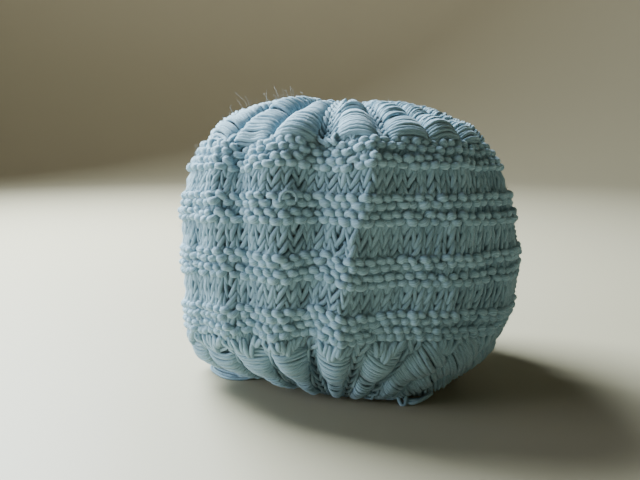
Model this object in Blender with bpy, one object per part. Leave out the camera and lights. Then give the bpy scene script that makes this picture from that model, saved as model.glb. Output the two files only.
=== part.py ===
"""A hand-knitted tea cosy: one hollow knitted cover that stands on its own hem.

The origin is under the middle of the cover, on the surface it stands on. The front looks to -Y,
the handle opening is at -X and the spout opening at +X. All sizes are in metres.
"""
import bmesh
import bpy
import numpy as np

# Driving sizes
REPEATS = 20                # gathered leaves round the cover, each with the rib beside it
STEPS = 4                   # mesh columns in one repeat
WALL = 0.005                # thickness of the knitting
HEM_FOOT = 0.005            # width of the flat underside of the hem
RIDGE_RISE = 0.0016         # how far a garter ridge stands out of the smooth knit
LEAF_RISE = 0.0022          # how far a gathered leaf puffs out
RIB_SINK = 0.0030           # how far the rib between two leaves is drawn in
PLEAT_RISE = 0.0005         # the same folds where they run on through the body
HEM_TWIST = 20.0            # degrees by which the hem is pulled round towards the handle
TWIST_ROWS = 36.0           # knitted rows over which that pull fades out
TWIST_FADE = 1.7            # how fast it does so
TWIST_MIDDLE = 45.0         # degrees from the front, towards the spout, where the pull is strongest
TWIST_SPREAD = 58.0         # degrees to each side over which it dies away
SLIT_REACH = 1.6            # repeats on each side of an opening whose columns are pushed aside
MIDDLE = (0.0008, 0.0011)   # moves the uneven cover so that its box is centred on the origin
PROBE = 0.01                # step, in repeats and in rows, for measuring the slope of the surface
SAME_COLUMN = 1e-6          # repeats within which a point lies on the column of an opening

# Powers that set how round a shape is: low ones are full, high ones keep to the ends
OPENING_ROUNDNESS = 0.75
LEAF_ROUNDNESS = 0.8
DROP_SHARPNESS = 3

# Rings of the cover from the hem to the knob hole. Heights are those of the front. The three
# half widths run to the handle, to the spout and to the front or back; the drops say how much
# lower the ring hangs at the handle and at the spout; square is 2 for an oval, more for a box;
# skew draws the front left in and lets the front right out, as a share of the half width.
SECTION_COLUMNS = ("row", "height", "handle", "spout", "front", "handle_drop", "spout_drop", "square", "skew")
SECTIONS = {
    "hem":        (0.0, 0.0000, 0.0520, 0.0530, 0.0425, 0.0000, 0.0000, 2.0, 0.06),
    "tuck":       (3.0, 0.0040, 0.0635, 0.0605, 0.0525, 0.0015, 0.0000, 2.0, 0.05),
    "leaf_low":   (6.5, 0.0135, 0.0745, 0.0670, 0.0630, 0.0060, 0.0000, 2.1, 0.03),
    "leaf_high":  (10.0, 0.0255, 0.0810, 0.0740, 0.0702, 0.0085, 0.0040, 2.2, 0.01),
    "leaf_top":   (13.0, 0.0362, 0.0835, 0.0788, 0.0735, 0.0095, 0.0070, 2.3, 0.00),
    "band_4":     (15.0, 0.0427, 0.0842, 0.0812, 0.0745, 0.0090, 0.0070, 2.4, 0.00),
    "band_3":     (23.0, 0.0675, 0.0848, 0.0835, 0.0752, 0.0045, 0.0035, 2.5, 0.00),
    "band_2":     (31.0, 0.0932, 0.0848, 0.0800, 0.0742, 0.0045, 0.0040, 2.5, 0.00),
    "band_1":     (39.0, 0.1190, 0.0775, 0.0705, 0.0700, 0.0040, 0.0036, 2.4, 0.00),
    "shoulder":   (41.5, 0.1255, 0.0700, 0.0650, 0.0660, 0.0020, 0.0040, 2.3, 0.00),
    "dome_low":   (45.0, 0.1313, 0.0580, 0.0535, 0.0560, 0.0000, 0.0045, 2.2, 0.00),
    "dome_high":  (50.0, 0.1362, 0.0400, 0.0380, 0.0390, 0.0000, 0.0035, 2.1, 0.00),
    "knob_hole":  (56.0, 0.1380, 0.0168, 0.0165, 0.0158, 0.0000, 0.0000, 2.0, 0.00),
}

# The mesh has a ring at each of these knitted rows: hem, leaves, four garter bands, leaves, rim.
MESH_ROWS = (0.0, 1.5, 3.0, 4.8, 6.5, 8.2, 10.0, 12.0, 13.0, 14.0, 15.0, 16.0, 17.0, 20.0, 21.0, 22.0,
             23.0, 24.0, 25.0, 28.0, 29.0, 30.0, 31.0, 32.0, 33.0, 36.0, 37.0, 38.0, 39.0, 40.0, 41.0,
             42.4, 44.0, 46.0, 48.0, 51.0, 56.0)
BAND_VALLEYS = (15.0, 23.0, 31.0, 39.0)     # row of the valley between the two ridges of each band

# Gathered leaves: first and last row, and the row where they puff out most.
LEAF_ZONES = {
    "lower": (0.5, 13.2, 8.5),
    "upper": (40.8, 55.5, 44.5),
}

# Folds of the fabric: repeat they run along (0 is the front, 5 the spout, 15 the handle), how far
# they stand out, their reach in repeats, and the first and last row. Pointed folds are creases.
FOLD_COLUMNS = ("along", "rise", "reach", "first", "last", "pointed")
FOLDS = {
    "front_corner":   (0.20, 0.0055, 0.85, 8.0, 43.0, True),
    "corner_hollow":  (-0.50, -0.0034, 0.40, 6.0, 46.0, False),
    "left_crest":     (-1.20, 0.0020, 0.38, 10.0, 44.0, False),
    "left_hollow":    (-1.65, -0.0014, 0.25, 10.0, 44.0, False),
    "second_crest":   (-2.00, 0.0022, 0.35, 10.0, 44.0, False),
    "second_hollow":  (-2.50, -0.0028, 0.35, 10.0, 46.0, False),
    "third_crest":    (-3.10, 0.0014, 0.45, 10.0, 44.0, False),
    "right_flat":     (1.60, -0.0012, 0.90, 12.0, 40.0, False),
    "right_brow":     (3.20, 0.0018, 0.70, 12.0, 40.0, False),
    "right_hollow":   (4.10, -0.0020, 0.45, 8.0, 40.0, False),
    "crown_leaf":     (-2.60, 0.0040, 0.60, 42.0, 56.0, False),
    "back_corner":    (10.60, 0.0042, 0.75, 8.0, 42.0, True),
    "back_hollow":    (9.55, -0.0030, 0.45, 8.0, 44.0, False),
    "back_crest":     (8.10, 0.0018, 0.45, 10.0, 44.0, False),
    "back_left":      (11.90, -0.0020, 0.50, 10.0, 42.0, False),
    "back_far":       (13.10, 0.0016, 0.50, 10.0, 42.0, False),
}
FOLD_FADE = 5.0             # rows over which a fold comes up and dies away
BODY_ROWS = (10.0, 44.0)    # rows between which the pleats run on from leaf to leaf
FLAT_ROWS = 2.0             # rows above the hem over which leaves and folds come up

# Openings between two stitch columns: repeat they lie on, rows they span and their widest gap.
OPENINGS = {
    "spout": (5.0, 13.0, 33.0, 0.028),
    "handle": (15.0, 17.0, 41.0, 0.014),
}


def section_values(row):
    """Every measure of the ring at a knitted row, on smooth curves through the sections."""
    table = np.array(list(SECTIONS.values()))
    rows = table[:, 0]
    values = table[:, 1:]
    slopes = np.gradient(values, rows, axis=0)
    row = np.clip(row, rows[0], rows[-1])
    low = np.clip(np.searchsorted(rows, row, side="right") - 1, 0, len(rows) - 2)
    span = rows[low + 1] - rows[low]
    part = ((row - rows[low]) / span)[..., None]
    span = span[..., None]
    start = values[low] * (1 + 2 * part) * (1 - part) ** 2 + slopes[low] * span * part * (1 - part) ** 2
    end = values[low + 1] * part ** 2 * (3 - 2 * part) - slopes[low + 1] * span * part ** 2 * (1 - part)
    blended = start + end
    return {name: blended[..., index] for index, name in enumerate(SECTION_COLUMNS[1:])}


def around(column, centre):
    """Signed distance in repeats from a column to a centre, the short way round."""
    return (column - centre + REPEATS / 2) % REPEATS - REPEATS / 2


def opening_gap(name, row):
    """Half the width of an opening at a row."""
    _, first, last, width = OPENINGS[name]
    part = np.clip((row - first) / (last - first), 0, 1)
    return 0.5 * width * np.sin(np.pi * part) ** OPENING_ROUNDNESS


def turn_angle(column, row, lip):
    """Angle about the upright axis: 0 at the front, a quarter turn at the spout."""
    angle = column * 2 * np.pi / REPEATS
    fade = np.clip(1 - row / TWIST_ROWS, 0, 1) ** TWIST_FADE
    from_middle = around(column, TWIST_MIDDLE * REPEATS / 360) * 360 / REPEATS
    angle = angle - np.radians(HEM_TWIST) * fade * np.exp(-(from_middle / TWIST_SPREAD) ** 2)
    ring = section_values(row)
    for name, (centre, _, _, _) in OPENINGS.items():
        away = around(column, centre)
        side = np.where(np.abs(away) < SAME_COLUMN, lip, np.sign(away))
        pushed = np.clip(1 - np.abs(away) / SLIT_REACH, 0, 1)
        angle = angle + side * pushed * opening_gap(name, row) / ring[name]
    return angle


def base_point(column, row, lip):
    """A point of the plain cover, without folds or ridges."""
    ring = section_values(row)
    angle = turn_angle(column, row, lip)
    side = np.sin(angle)
    ahead = np.cos(angle)
    half_width = np.where(side < 0, ring["handle"], ring["spout"])
    power = ring["square"]
    reach = np.abs(side / half_width) ** power + np.abs(ahead / ring["front"]) ** power
    reach = reach ** (-1 / power) * (1 + ring["skew"] * np.sin(2 * angle))
    handle_drop = ring["handle_drop"] * np.clip(-side, 0, 1) ** DROP_SHARPNESS
    spout_drop = ring["spout_drop"] * np.clip(side, 0, 1) ** DROP_SHARPNESS
    height = np.maximum(ring["height"] - handle_drop - spout_drop, 0)
    return np.stack([MIDDLE[0] + reach * side, MIDDLE[1] - reach * ahead, height], axis=-1)


def outward(column, row, lip):
    """Direction square to the plain cover."""
    across = base_point(column + PROBE, row, lip) - base_point(column - PROBE, row, lip)
    up = base_point(column, row + PROBE, lip) - base_point(column, row - PROBE, lip)
    normal = np.cross(across, up)
    return normal / np.linalg.norm(normal, axis=-1, keepdims=True)


def garter_ridges(row):
    """1 on the crest of a garter ridge, 0 in the valleys and on the smooth knit."""
    height = np.zeros_like(row)
    for valley in BAND_VALLEYS:
        for crest in (valley - 1, valley + 1):
            height = height + np.clip(1 - np.abs(row - crest), 0, 1)
    return height


def leaf_puff(row):
    """How strongly the fabric is gathered into leaves at a row, 0 to 1."""
    strength = np.zeros_like(row)
    for first, last, fullest in LEAF_ZONES.values():
        rising = np.clip((row - first) / (fullest - first), 0, 1)
        falling = np.clip((last - row) / (last - fullest), 0, 1)
        strength = strength + np.sin(0.5 * np.pi * np.minimum(rising, falling)) ** LEAF_ROUNDNESS
    return strength


def fold_rise(column, row):
    """Height of the large folds above the plain cover."""
    total = np.zeros_like(row)
    for values in FOLDS.values():
        fold = dict(zip(FOLD_COLUMNS, values))
        away = np.abs(around(column, fold["along"])) / fold["reach"]
        across = np.exp(-2 * away) if fold["pointed"] else np.exp(-away ** 2)
        ends = np.minimum(row - fold["first"], fold["last"] - row) / FOLD_FADE
        total = total + fold["rise"] * across * np.clip(ends, 0, 1)
    return total


def relief(column, row):
    """Height of ridges, leaves, pleats and folds above the plain cover."""
    crest = 0.5 + 0.5 * np.cos(2 * np.pi * column)
    leaf = leaf_puff(row)
    body = np.clip(np.minimum(row - BODY_ROWS[0], BODY_ROWS[1] - row) / FOLD_FADE, 0, 1)
    rise = RIDGE_RISE * garter_ridges(row) + fold_rise(column, row)
    rise = rise + leaf * (LEAF_RISE * crest - RIB_SINK * (1 - crest))
    return rise + PLEAT_RISE * body * (2 * crest - 1)


def outer_point(column, row, lip):
    """A point of the outer face of the knitting."""
    rise = relief(column, row) * np.clip(row / FLAT_ROWS, 0, 1)
    return base_point(column, row, lip) + outward(column, row, lip) * rise[..., None]


def inner_point(column, row, lip):
    """A point of the inner face, which follows the folds but not the ridges."""
    if row <= 0:
        foot = base_point(column, row, lip)
        shrink = 1 - HEM_FOOT / np.linalg.norm(foot)
        return foot * np.array([shrink, shrink, 0])
    follow = fold_rise(column, row) - WALL - RIB_SINK * leaf_puff(row) / 2
    return base_point(column, row, lip) + outward(column, row, lip) * follow[..., None]


def opening_at(step, ring):
    """Whether the fabric is parted at a mesh column and ring."""
    column = step / STEPS
    row = MESH_ROWS[ring]
    for centre, first, last, _ in OPENINGS.values():
        if column == centre and first < row < last:
            return True
    return False


def wall_vertices(mesh, place, steps, rings):
    """Vertices of one face of the knitting; a parted column has one on each lip."""
    found = {}
    for step in steps:
        for ring in rings:
            for lip in (-1, 1):
                if lip == 1 and not opening_at(step, ring):
                    found[step, ring, 1] = found[step, ring, -1]
                    continue
                side = lip if opening_at(step, ring) else 0
                spot = place(np.float64(step / STEPS), np.float64(MESH_ROWS[ring]), side)
                found[step, ring, lip] = mesh.verts.new(spot)
    return found


def wall_faces(mesh, found, steps, rings):
    """Quads between the columns and rings of one face of the knitting."""
    for number, step in enumerate(steps):
        following = steps[(number + 1) % len(steps)]
        for low, high in zip(rings, rings[1:]):
            mesh.faces.new((found[step, low, 1], found[following, low, -1],
                            found[following, high, -1], found[step, high, 1]))


def rim_faces(mesh, outer, inner):
    """Joins a fine outer edge to an inner edge that has half its points."""
    for index in range(len(inner) - 1):
        first, middle, last = outer[2 * index:2 * index + 3]
        corners = [(first, middle, inner[index]), (middle, inner[index + 1], inner[index]),
                   (middle, last, inner[index + 1])]
        for corner in corners:
            if len(set(corner)) == 3:
                mesh.faces.new(corner)


def round_rim(mesh, outer, inner, ring):
    """Closes the wall round the hem or the knob hole."""
    fine = [outer[step % (REPEATS * STEPS), ring, 1] for step in range(REPEATS * STEPS + 1)]
    coarse = [inner[step % (REPEATS * STEPS), ring, 1] for step in range(0, REPEATS * STEPS + 1, 2)]
    rim_faces(mesh, fine, coarse)


def slit_rims(mesh, outer, inner):
    """Closes the wall along both lips of each side opening."""
    for centre, first, last, _ in OPENINGS.values():
        step = int(centre * STEPS)
        rings = [ring for ring, row in enumerate(MESH_ROWS) if first <= row <= last]
        for lip in (-1, 1):
            fine = [outer[step, ring, lip] for ring in rings]
            coarse = [inner[step, ring, lip] for ring in rings[::2]]
            rim_faces(mesh, fine, coarse)


def yarn_material():
    """Pale blue cotton yarn."""
    material = bpy.data.materials.new("blue_cotton_yarn")
    material.use_nodes = True
    shader = material.node_tree.nodes["Principled BSDF"]
    shader.inputs["Base Color"].default_value = (0.36, 0.53, 0.61, 1)
    shader.inputs["Roughness"].default_value = 0.9
    shader.inputs["Metallic"].default_value = 0.0
    return material


def knitted_cover():
    """The whole cover as one closed piece of thick knitting."""
    mesh = bmesh.new()
    all_steps = list(range(REPEATS * STEPS))
    all_rings = list(range(len(MESH_ROWS)))
    outer = wall_vertices(mesh, outer_point, all_steps, all_rings)
    inner = wall_vertices(mesh, inner_point, all_steps[::2], all_rings[::2])
    wall_faces(mesh, outer, all_steps, all_rings)
    wall_faces(mesh, inner, all_steps[::2], all_rings[::2])
    round_rim(mesh, outer, inner, all_rings[0])
    round_rim(mesh, outer, inner, all_rings[-1])
    slit_rims(mesh, outer, inner)
    bmesh.ops.triangulate(mesh, faces=mesh.faces)
    bmesh.ops.recalc_face_normals(mesh, faces=mesh.faces)
    data = bpy.data.meshes.new("knitted_cover")
    mesh.to_mesh(data)
    mesh.free()
    data.shade_smooth()
    data.materials.append(yarn_material())
    cover = bpy.data.objects.new("knitted_cover", data)
    bpy.context.scene.collection.objects.link(cover)
    return cover


for old in list(bpy.data.objects):
    bpy.data.objects.remove(old)
knitted_cover()
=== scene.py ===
import math
from functools import partial

import bmesh
import bpy
import numpy as np
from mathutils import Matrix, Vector


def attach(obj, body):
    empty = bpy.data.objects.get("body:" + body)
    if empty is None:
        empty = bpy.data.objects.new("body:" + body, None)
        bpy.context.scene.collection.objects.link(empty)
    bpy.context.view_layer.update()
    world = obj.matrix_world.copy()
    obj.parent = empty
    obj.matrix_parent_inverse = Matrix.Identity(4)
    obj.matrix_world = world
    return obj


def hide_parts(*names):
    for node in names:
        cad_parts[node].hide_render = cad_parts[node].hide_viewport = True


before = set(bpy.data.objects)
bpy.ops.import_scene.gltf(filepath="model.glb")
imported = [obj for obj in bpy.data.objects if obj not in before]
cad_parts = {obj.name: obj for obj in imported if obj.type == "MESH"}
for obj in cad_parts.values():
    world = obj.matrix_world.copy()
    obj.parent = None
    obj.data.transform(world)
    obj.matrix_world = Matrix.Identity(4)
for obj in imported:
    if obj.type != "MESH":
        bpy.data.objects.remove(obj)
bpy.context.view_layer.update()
rng = np.random.default_rng(21)

# The cover's own shape, close to that of its CAD solid. Columns count the gathered leaves round it, 0 at the
# front, 5 at the spout and 15 at the handle. Rows of about 3 mm count upwards from the hem.
cover = {
    "repeats": 20,  # leaves round the cover
    "stitches": 5,  # stitches in each repeat
    "pleat": 0.0005,  # soft pleats between the leaves
    "pleatRows": (10, 44),  # first and last row of the pleats
    "leafRise": 0.0022,  # how far a leaf puffs out
    "leafRound": 0.8,  # how quickly it puffs out from its ends
    "ribSink": 0.0030,  # how far the rib beside it is drawn in
    "ridgeRise": 0.0013,  # how far a garter ridge stands out
    "foldFade": 5.0,  # rows over which a fold dies out
    "hemRows": 2,  # rows over which folds and leaves begin at the hem
    "middle": (0.0008, 0.0011),  # x and y of its middle
    "twist": 20.0,  # degrees that the hem is turned, less in the rows above
    "twistRows": 36.0, "twistFade": 1.7,
    "twistMiddle": 45.0, "twistSpread": 58.0,  # where round the cover it is turned, in degrees
    "hemLift": 0.0042,  # how far the hem stands off the table beside the handle
    "liftMiddle": -3.2, "liftSpread": 1.1,  # where, in columns
    "liftRows": 9,  # rows over which that dies out
    "slitReach": 1.6,  # columns beside a slit that are pushed aside
    "slitRound": 0.75,  # below 1, a slit is fuller towards its ends
    "dropPower": 3,  # how closely a drop keeps to handle and spout
}
measures = ("height", "toHandle", "toSpout", "toFront", "handleDrop", "spoutDrop", "square", "skew")
# row, then those measures: height, three half widths and two drops in metres, squareness and skew
sections = np.array([
    (0.0, 0.0000, 0.0500, 0.0480, 0.0420, 0.0000, 0.0000, 2.0, 0.09),
    (3.0, 0.0040, 0.0610, 0.0560, 0.0515, 0.0010, 0.0000, 2.0, 0.08),
    (6.5, 0.0135, 0.0740, 0.0632, 0.0622, 0.0050, 0.0000, 2.1, 0.05),
    (10.0, 0.0255, 0.0818, 0.0728, 0.0702, 0.0085, 0.0040, 2.2, 0.02),
    (13.0, 0.0362, 0.0842, 0.0786, 0.0735, 0.0095, 0.0070, 2.3, 0.00),
    (15.0, 0.0427, 0.0847, 0.0812, 0.0745, 0.0090, 0.0070, 2.4, 0.00),
    (23.0, 0.0675, 0.0850, 0.0835, 0.0752, 0.0045, 0.0035, 2.5, 0.00),
    (31.0, 0.0932, 0.0846, 0.0792, 0.0742, 0.0045, 0.0040, 2.5, 0.00),
    (39.0, 0.1190, 0.0758, 0.0678, 0.0700, 0.0040, 0.0036, 2.4, 0.00),
    (41.5, 0.1255, 0.0684, 0.0618, 0.0660, 0.0020, 0.0040, 2.3, 0.00),
    (45.0, 0.1313, 0.0570, 0.0520, 0.0560, 0.0000, 0.0045, 2.2, 0.00),
    (50.0, 0.1362, 0.0398, 0.0376, 0.0390, 0.0000, 0.0035, 2.1, 0.00),
    (56.0, 0.1380, 0.0168, 0.0165, 0.0158, 0.0000, 0.0000, 2.0, 0.00),
])
sectionSlopes = np.gradient(sections[:, 1:], sections[:, 0], axis=0)
leafZones = {"lower": (0.5, 12.6, 8.5), "upper": (39.6, 55.5, 44.0)}  # first, last and fullest row
foldRows = (9, 16, 20, 27, 35, 42, 48)  # rows at which a fold's column is given
# columns the fold runs through, how far it stands out, its reach, first and last row, pointed or round
folds = [
    ((0.00, -0.12, -0.15, -0.04, 0.24, 0.30, 0.30), 0.0056, 0.75, 8.0, 43.0, True),
    ((-0.80, -0.92, -0.86, -0.82, -0.88, -0.64, -0.56), -0.0040, 0.34, 6.0, 47.0, False),
    ((-1.30, -1.34, -1.36, -1.40, -1.58, -1.40, -1.30), 0.0030, 0.38, 8.0, 44.0, False),
    ((-1.80, -1.90, -2.00, -2.06, -2.24, -2.20, -2.20), -0.0036, 0.25, 9.0, 45.0, False),
    ((-2.30, -2.38, -2.46, -2.54, -2.72, -2.80, -2.80), 0.0024, 0.30, 10.0, 44.0, False),
    ((-3.05,) * 7, -0.0012, 0.22, 10.0, 46.0, False), ((-3.45,) * 7, 0.0014, 0.35, 10.0, 44.0, False),
    ((0.95,) * 7, -0.0016, 0.35, 12.0, 40.0, False), ((1.60,) * 7, 0.0010, 0.50, 12.0, 40.0, False),
    ((3.20,) * 7, 0.0018, 0.70, 12.0, 40.0, False), ((4.10,) * 7, -0.0020, 0.45, 8.0, 40.0, False),
    ((-2.60,) * 7, 0.0034, 0.60, 42.0, 56.0, False), ((10.60,) * 7, 0.0042, 0.75, 8.0, 42.0, True),
    ((9.55,) * 7, -0.0030, 0.45, 8.0, 44.0, False), ((8.10,) * 7, 0.0018, 0.45, 10.0, 44.0, False),
    ((11.90,) * 7, -0.0020, 0.50, 10.0, 42.0, False), ((13.10,) * 7, 0.0016, 0.50, 10.0, 42.0, False),
]
# column, first row, last row, widest gap, and the half width that the gap is a share of
openings = {"spout": (5.0, 13.0, 33.0, 0.028, "toSpout"), "handle": (15.0, 17.0, 41.0, 0.014, "toHandle")}


def clamp(value):
    return np.clip(value, 0, 1)


def bell(value):
    return np.exp(-value ** 2)


def smooth(value):
    value = clamp(value)
    return value * value * (3 - 2 * value)


def smoothRun(part, start, startSlope, end, endSlope):  # a smooth curve from one point to the next
    curve = start * (1 + 2 * part) * (1 - part) ** 2 + startSlope * part * (1 - part) ** 2
    return curve + end * part ** 2 * (3 - 2 * part) - endSlope * part ** 2 * (1 - part)


def ringAt(row):  # every measure of the ring at a row
    rows = sections[:, 0]
    row = np.clip(row, rows[0], rows[-1])
    low = np.clip(np.searchsorted(rows, row, side="right") - 1, 0, len(rows) - 2)
    span = (rows[low + 1] - rows[low])[..., None]
    part = (row - rows[low])[..., None] / span
    ring = smoothRun(part, sections[low, 1:], sectionSlopes[low] * span,
                     sections[low + 1, 1:], sectionSlopes[low + 1] * span)
    return {name: ring[..., place] for place, name in enumerate(measures)}


def around(column, centre):  # signed distance in columns, the short way round
    half = cover["repeats"] / 2
    return (column - centre + half) % cover["repeats"] - half


def turnAngle(column, row, ring):  # columns twist towards the hem and make way for the two slits
    columnDegrees = 360 / cover["repeats"]
    angle = np.radians(column * columnDegrees)
    fade = clamp(1 - row / cover["twistRows"]) ** cover["twistFade"]
    degrees = around(column, cover["twistMiddle"] / columnDegrees) * columnDegrees
    angle = angle - np.radians(cover["twist"]) * fade * bell(degrees / cover["twistSpread"])
    for centre, first, last, width, measure in openings.values():
        away = around(column, centre)
        part = clamp((row - first) / (last - first))
        gap = 0.5 * width * np.sin(np.pi * part) ** cover["slitRound"]
        pushed = clamp(1 - np.abs(away) / cover["slitReach"])
        angle = angle + np.sign(away) * pushed * gap / ring[measure]
    return angle


def plainPoint(column, row):  # a point of the cover without folds or ridges
    ring = ringAt(row)
    angle = turnAngle(column, row, ring)
    side = np.sin(angle)
    ahead = np.cos(angle)
    halfWidth = np.where(side < 0, ring["toHandle"], ring["toSpout"])
    reach = np.abs(side / halfWidth) ** ring["square"] + np.abs(ahead / ring["toFront"]) ** ring["square"]
    reach = reach ** (-1 / ring["square"]) * (1 + ring["skew"] * np.sin(2 * angle))
    drop = ring["handleDrop"] * clamp(-side) ** cover["dropPower"]
    drop = drop + ring["spoutDrop"] * clamp(side) ** cover["dropPower"]
    lifted = bell(around(column, cover["liftMiddle"]) / cover["liftSpread"])
    height = np.maximum(ring["height"] - drop, 0)
    height = height + cover["hemLift"] * lifted * clamp(1 - row / cover["liftRows"])
    x = cover["middle"][0] + reach * side
    y = cover["middle"][1] - reach * ahead
    return np.stack([x, y, height], axis=-1)


def unit(vectors):
    return vectors / np.maximum(np.linalg.norm(vectors, axis=-1, keepdims=True), 1e-12)


def slopesAt(column, row, step):  # steps across and up the plain cover
    across = plainPoint(column + step, row) - plainPoint(column - step, row)
    up = plainPoint(column, row + step) - plainPoint(column, row - step)
    return across, up


def outwardAt(column, row):
    return unit(np.cross(*slopesAt(column, row, 0.01)))


def fromHem(row):
    return clamp(row / cover["hemRows"])


def foldRise(column, row):
    total = np.zeros_like(row)
    for columns, rise, reach, first, last, pointed in folds:
        away = np.abs(around(column, np.interp(row, foldRows, columns))) / reach
        across = np.exp(-2 * away) if pointed else bell(away)
        ends = np.minimum(row - first, last - row) / cover["foldFade"]
        total = total + rise * across * clamp(ends)
    return total * fromHem(row)


# columns by which the leaves sit off their even places at the body, at the hem and on the top
turns = {
    "columns": (-6, -4, -3, -2, -1, 0, 1, 2, 3, 4, 5, 7),
    "body": (0, 0.10, 0.15, 0, -0.20, -0.16, 0, 0.20, 0.25, 0.10, 0, 0),
    "hem": (0, 0, 0, 0, -0.05, -0.03, -0.25, -0.70, -0.85, -0.60, -0.30, 0),
    "top": (0, -0.20, -0.30, -0.17, -0.25, -0.08, 0.03, -0.18, -0.20, -0.10, 0, 0),
    "bodyRow": 11.5, "toHem": 6.5, "pastHem": 1.3,  # it grows down to the hem and past it
    "lowerEnd": 14.5, "lowerFade": 3.0, "topStart": 39.0, "topFade": 1.5,
}


def leafTurn(column, row):
    away = around(column, 0.0)
    atBody, atHem, atTop = [np.interp(away, turns["columns"], turns[end]) for end in ("body", "hem", "top")]
    low = atBody + (atHem - atBody) * np.clip((turns["bodyRow"] - row) / turns["toHem"], 0, turns["pastHem"])
    low = low * clamp((turns["lowerEnd"] - row) / turns["lowerFade"])
    return low + atTop * clamp((row - turns["topStart"]) / turns["topFade"])


def leafMiddle(number, row):  # the column that the middle of a leaf, or of a rib, has at a row
    return number + leafTurn(number + leafTurn(number, row), row)


def leafPuff(row):
    strength = np.zeros_like(row)
    for first, last, fullest in leafZones.values():
        rising = clamp((row - first) / (fullest - first))
        falling = clamp((last - row) / (last - fullest))
        strength = strength + np.sin(0.5 * np.pi * np.minimum(rising, falling)) ** cover["leafRound"]
    return strength


def puffRise(column, row):  # pleats and gathered leaves
    crest = 0.5 + 0.5 * np.cos(2 * np.pi * (column - leafTurn(column, row)))
    first, last = cover["pleatRows"]
    pleated = clamp(np.minimum(row - first, last - row) / cover["foldFade"])
    puffed = leafPuff(row) * (cover["leafRise"] * crest - cover["ribSink"] * (1 - crest))
    return (cover["pleat"] * pleated * (2 * crest - 1) + puffed) * fromHem(row)


def clothRise(column, row):
    return foldRise(column, row) + puffRise(column, row)


def onCloth(column, row, lift):  # lift is measured from the outer face of the folded cloth
    return plainPoint(column, row) + outwardAt(column, row) * (clothRise(column, row) + lift)[..., None]


def onFolds(column, row, lift):  # the same from the large folds alone, without leaves or pleats
    return plainPoint(column, row) + outwardAt(column, row) * (foldRise(column, row) + lift)[..., None]


def columnWidth(column, row):  # metres in one column
    apart = plainPoint(column + 0.25, row) - plainPoint(column - 0.25, row)
    return 2 * np.linalg.norm(apart, axis=-1)


def softNoise(count, fewest, most, rise):  # a smooth uneven field that closes round the cover
    waves = []
    for _ in range(count):
        waves.append((rng.integers(fewest, most), rng.uniform(-rise, rise), rng.uniform(0, 2 * np.pi)))

    def field(column, row):
        total = np.zeros(np.broadcast(column, row).shape)
        for crests, slope, phase in waves:
            total = total + np.sin(2 * np.pi * crests * column / cover["repeats"] + slope * row + phase)
        return total * math.sqrt(2 / count)
    return field


driftAcross = softNoise(9, 12, 60, 1.1)
driftUp = softNoise(9, 8, 50, 0.8)
driftOut = softNoise(10, 12, 70, 1.2)
driftThick = softNoise(8, 20, 90, 1.6)
print("cover shape ready")

# Yarn as tubes. Lines with the same number of points are swept at once, and a yarn is a list of such batches.
tubes = {
    "awkward": (0.31, 0.22, 0.93),  # a direction that no strand sets out along
    "table": 0.00005,  # yarn flattens on the table, this far above it
    "perMetre": 100,  # the pattern along the yarn counts centimetres
}


def sweep(yarn, lines, radii, outs, lifts, sides=6):  # a single line is a batch of one
    lines, outs = [values.reshape(-1, *values.shape[-2:]) for values in (lines, outs)]
    radii, lifts = [np.broadcast_to(values, lines.shape[:2]) for values in (radii, lifts)]
    tangent = unit(np.gradient(lines, axis=1))
    guides = [unit(np.cross(tangent[:, 0], tubes["awkward"]))]
    for ahead in np.moveaxis(tangent, 1, 0)[1:]:
        guides.append(unit(guides[-1] - (guides[-1] * ahead).sum(-1, keepdims=True) * ahead))
    guides = np.stack(guides, axis=1)
    sideways = np.cross(tangent, guides)
    turn = 2 * np.pi * np.arange(sides) / sides
    ring = np.cos(turn)[:, None] * guides[:, :, None] + np.sin(turn)[:, None] * sideways[:, :, None]
    points = lines[:, :, None] + radii[:, :, None, None] * ring
    points[..., 2] = np.maximum(points[..., 2], tubes["table"])
    # height over the outer face, which the material reads to paint shade on yarn that lies deep
    height = lifts[:, :, None] + radii[:, :, None] * (ring * outs[:, :, None]).sum(-1)
    first = sum(len(batch[0]) for batch in yarn)
    ids = first + np.arange(height.size).reshape(height.shape)
    here, above = ids[:, :-1], ids[:, 1:]
    quads = np.stack([here, np.roll(here, -1, 2), np.roll(above, -1, 2), above], axis=-1)
    caps = np.concatenate([ids[:, 0, ::-1], ids[:, -1]])
    # the pattern runs along the yarn and once round it, and starts at a different place on each strand
    stretch = np.linalg.norm(np.diff(lines, axis=1), axis=-1)
    start = np.zeros((len(lines), 1))
    run = np.concatenate([start, np.cumsum(stretch, axis=1)], axis=1) * tubes["perMetre"]
    run = run + rng.uniform(0, 10, start.shape)
    net = np.stack(np.broadcast_arrays(run[..., None], np.arange(sides + 1) / sides), axis=-1)
    quadMap = np.stack([net[:, :-1, :-1], net[:, :-1, 1:], net[:, 1:, 1:], net[:, 1:, :-1]], axis=-2)
    capMap = np.concatenate([net[:, 0, :-1], net[:, -1, :-1]])
    yarn.append((points.reshape(-1, 3), height.ravel(), quads.reshape(-1, 4), caps,
                 quadMap.reshape(-1, 2), capMap.reshape(-1, 2)))


def lay(yarn, surface, column, row, lift, radius, sides=6):  # surface is onCloth or onFolds
    sweep(yarn, surface(column, row, lift), radius, outwardAt(column, row), lift, sides)


def newObject(name, data):
    made = bpy.data.objects.new(name, data)
    bpy.context.scene.collection.objects.link(made)
    return made


def meshObject(name, mesh, material):  # a smooth object from a finished bmesh
    bmesh.ops.recalc_face_normals(mesh, faces=mesh.faces)
    data = bpy.data.meshes.new(name)
    mesh.to_mesh(data)
    mesh.free()
    data.shade_smooth()
    data.materials.append(material)
    return newObject(name, data)


def settle(piece):  # on the body
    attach(piece, "root")
    piece.data.calc_loop_triangles()
    print("  ", piece.name, len(piece.data.loop_triangles), "triangles")
    return piece


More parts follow.
